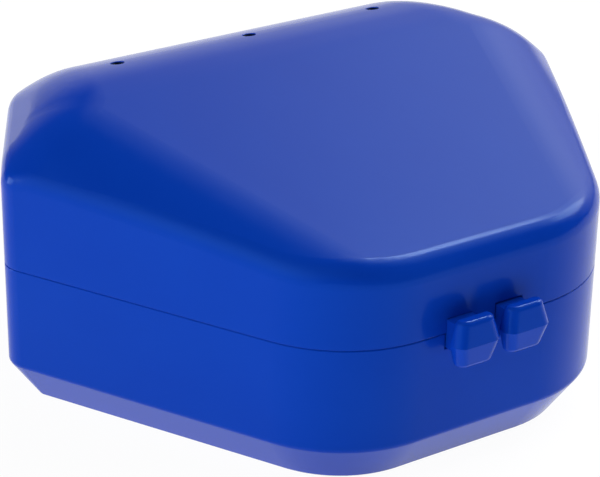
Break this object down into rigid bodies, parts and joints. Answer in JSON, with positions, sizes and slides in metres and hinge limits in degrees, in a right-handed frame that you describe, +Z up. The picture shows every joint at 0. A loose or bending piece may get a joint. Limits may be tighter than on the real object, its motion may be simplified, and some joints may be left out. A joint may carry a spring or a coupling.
{
  "type": "orthodontic retainer box",
  "caption": "Small hinged plastic box with bevelled faces, a sloping lid with vents and a thumb latch, for a dental retainer.",
  "frame": {"origin": "middle of the closed box's bounding box, on the plane of the rest face", "axes": "+X across the box to the right as seen from the latch, +Y from the latch to the hinge, +Z up"},
  "size_m": [0.0796, 0.0724, 0.0373],
  "materials": {
    "shell_blue": "moulded plastic with a satin gloss",
    "latch_blue": "moulded plastic with a satin gloss",
    "pin_steel": "drawn stainless wire"
  },
  "bodies": {
    "base": {"base_shell": "shell_blue", "base_latch_tab": "latch_blue", "hinge_pin_left": "pin_steel", "hinge_pin_right": "pin_steel"},
    "lid": {"lid_shell": "shell_blue", "lid_latch_tab": "latch_blue"}
  },
  "joints": [
    {"name": "lid_hinge", "type": "hinge", "parent": "base", "child": "lid", "pos_m": [0, 0.0338, 0.0185], "axis": [-1, 0, 0], "range_deg": [0, 180]}
  ]
}
